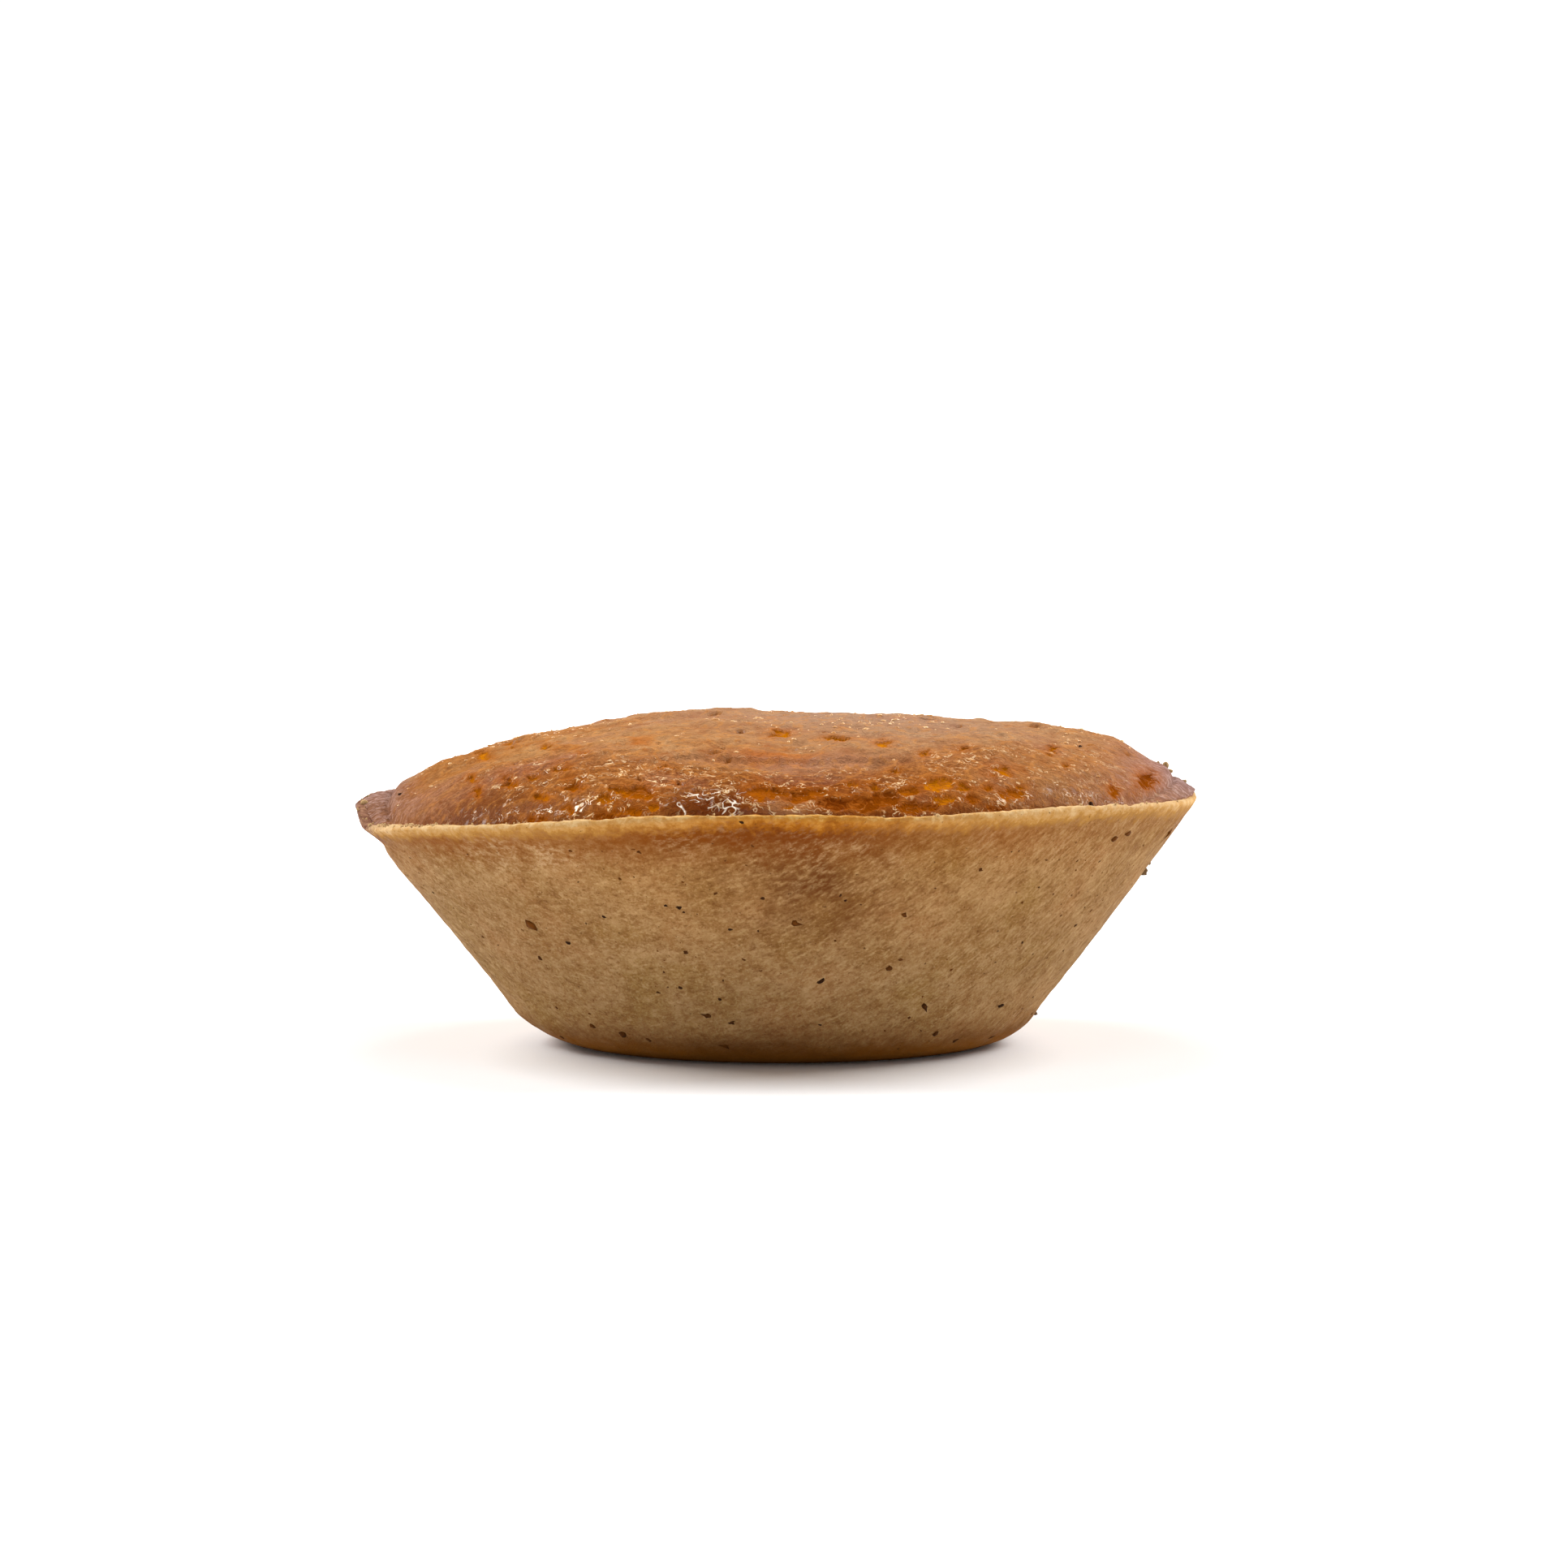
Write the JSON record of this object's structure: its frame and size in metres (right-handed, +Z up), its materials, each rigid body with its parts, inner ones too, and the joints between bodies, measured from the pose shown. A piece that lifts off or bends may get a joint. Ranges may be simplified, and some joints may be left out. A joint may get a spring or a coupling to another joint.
{
  "type": "bean tart",
  "caption": "Small round tart: a thin pale pastry case with sloping sides and a flat foot, filled to its rim with a glossy, caramelised bean custard that domes above it.",
  "frame": {"origin": "on the surface the tart stands on, under the middle of its rim", "axes": "+Z up, -Y the side that faces the camera in the picture, +X to that camera's right"},
  "size_m": [0.072, 0.072, 0.0282],
  "materials": {
    "pastry_crust": "thin baked dough, dry and matt, with fine flaky streaks, brown specks and a paler torn rim",
    "caramelised_filling": "browned custard skin, pitted and wrinkled, with amber pits and a wet sugar glaze"
  },
  "bodies": {
    "root": {"pastry_case": "pastry_crust", "bean_filling": "caramelised_filling"}
  },
  "joints": []
}
